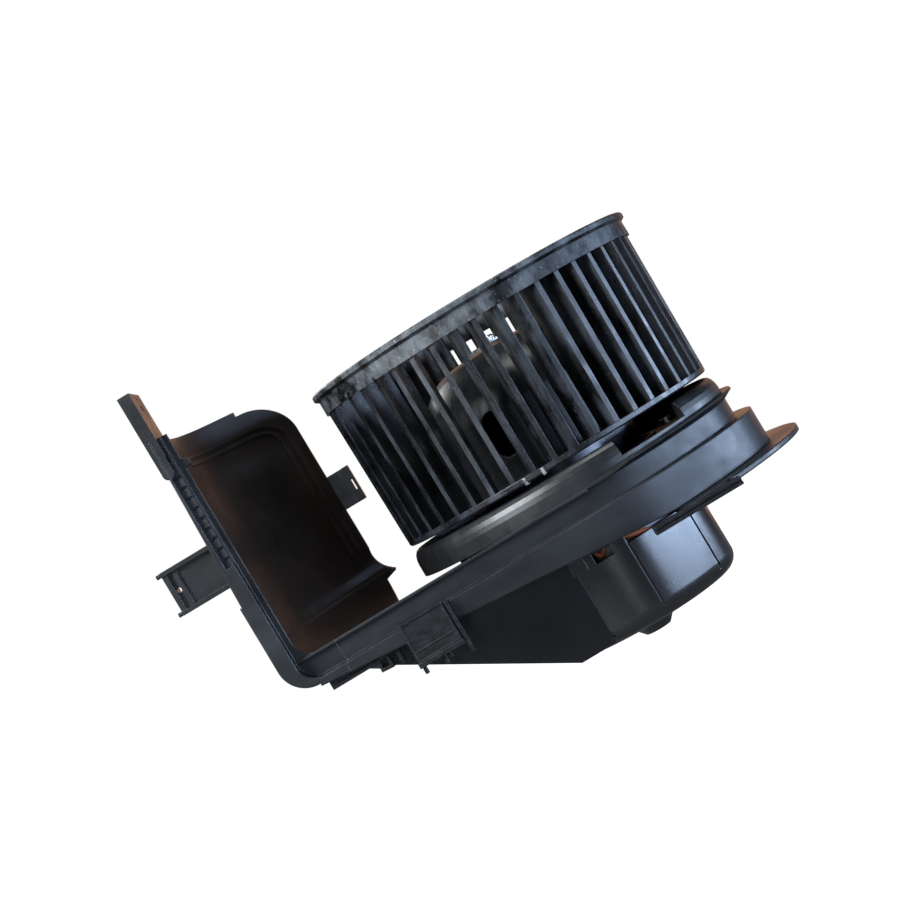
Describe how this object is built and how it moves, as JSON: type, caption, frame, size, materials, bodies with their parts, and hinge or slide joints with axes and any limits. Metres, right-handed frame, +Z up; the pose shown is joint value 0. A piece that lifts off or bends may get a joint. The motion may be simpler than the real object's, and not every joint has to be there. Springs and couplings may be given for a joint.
{
  "type": "vehicle heater blower",
  "caption": "Heater blower: squirrel-cage wheel on an electric motor, in a carrier ring and cup, on the lower half of a scroll casing with a curved outlet scoop.",
  "frame": {"origin": "on the wheel's axis, in the middle of the round mounting flange plate", "axes": "+Z up along the wheel's axis towards its open eye, -Y towards the casing's open seam side, -X towards the outlet"},
  "size_m": [0.2568, 0.1833, 0.1955],
  "materials": {
    "casing_plastic": "moulded, satin",
    "scoop_plastic": "moulded, satin",
    "carrier_plastic": "moulded, satin",
    "cup_plastic": "moulded, semi-gloss",
    "duct_plastic": "moulded, satin",
    "clip_plastic": "moulded, satin, scuffed",
    "wheel_plastic": "moulded, clouded by flow marks",
    "hub_plastic": "moulded, satin",
    "insert_plastic": "moulded",
    "seal_foam": "open-cell foam",
    "rubber": "matt",
    "zinc_steel": "zinc plated",
    "can_steel": "dark phosphated",
    "spring_steel": "spring steel",
    "shaft_steel": "ground",
    "core_steel": "stacked laminations",
    "ferrite": "sintered ferrite",
    "carbon": "carbon",
    "bronze": "sintered bronze",
    "brass": "bare brass",
    "copper": "bare copper",
    "card_plastic": "phenolic sheet",
    "lead_insulation": "insulated wire",
    "rim_lead_insulation": "insulated wire"
  },
  "bodies": {
    "housing": {"scroll_base": "casing_plastic", "outlet_scoop": "scoop_plastic", "seam_post": "casing_plastic", "fixing_ear": "casing_plastic", "side_bracket": "casing_plastic", "side_tab": "casing_plastic", "post_seal": "seal_foam", "front_clip": "clip_plastic", "lower_hooks": "clip_plastic", "mounting_flange": "casing_plastic", "lock_rail": "clip_plastic", "motor_carrier": "carrier_plastic", "carrier_screws": "zinc_steel", "motor_cup": "cup_plastic", "cooling_duct": "duct_plastic", "motor_can": "can_steel", "magnets": "ferrite", "end_cover": "zinc_steel", "upper_bearing": "bronze", "lower_bearing": "bronze", "brush_card": "card_plastic", "brush_boxes": "brass", "brush_spring_right": "spring_steel", "brush_spring_left": "spring_steel", "rubber_mounts": "rubber", "rubber_pad": "rubber", "connector_shell": "cup_plastic", "terminals": "brass", "leads": "lead_insulation", "rim_lead": "rim_lead_insulation"},
    "rotor": {"wheel_blades": "wheel_plastic", "wheel_top_ring": "wheel_plastic", "wheel_back_plate": "wheel_plastic", "wheel_hub": "hub_plastic", "hub_insert": "insert_plastic", "shaft_clip": "spring_steel", "balance_clips": "spring_steel", "motor_shaft": "shaft_steel", "armature_core": "core_steel", "armature_windings": "copper", "commutator": "copper"},
    "brush_right": {"brush_right": "carbon"},
    "brush_left": {"brush_left": "carbon"}
  },
  "joints": [
    {"name": "wheel_spin", "type": "hinge", "parent": "housing", "child": "rotor", "pos_m": [0, 0, 0], "axis": [0, 0, 1], "continuous": true},
    {"name": "brush_right_slide", "type": "slide", "parent": "housing", "child": "brush_right", "axis": [1, 0, 0], "range_m": [0, 0.004], "stiffness_N_per_m": 150, "springref_m": -0.012, "deforming": ["brush_spring_right"]},
    {"name": "brush_left_slide", "type": "slide", "parent": "housing", "child": "brush_left", "axis": [-1, 0, 0], "range_m": [0, 0.004], "stiffness_N_per_m": 150, "springref_m": -0.012, "deforming": ["brush_spring_left"]}
  ]
}
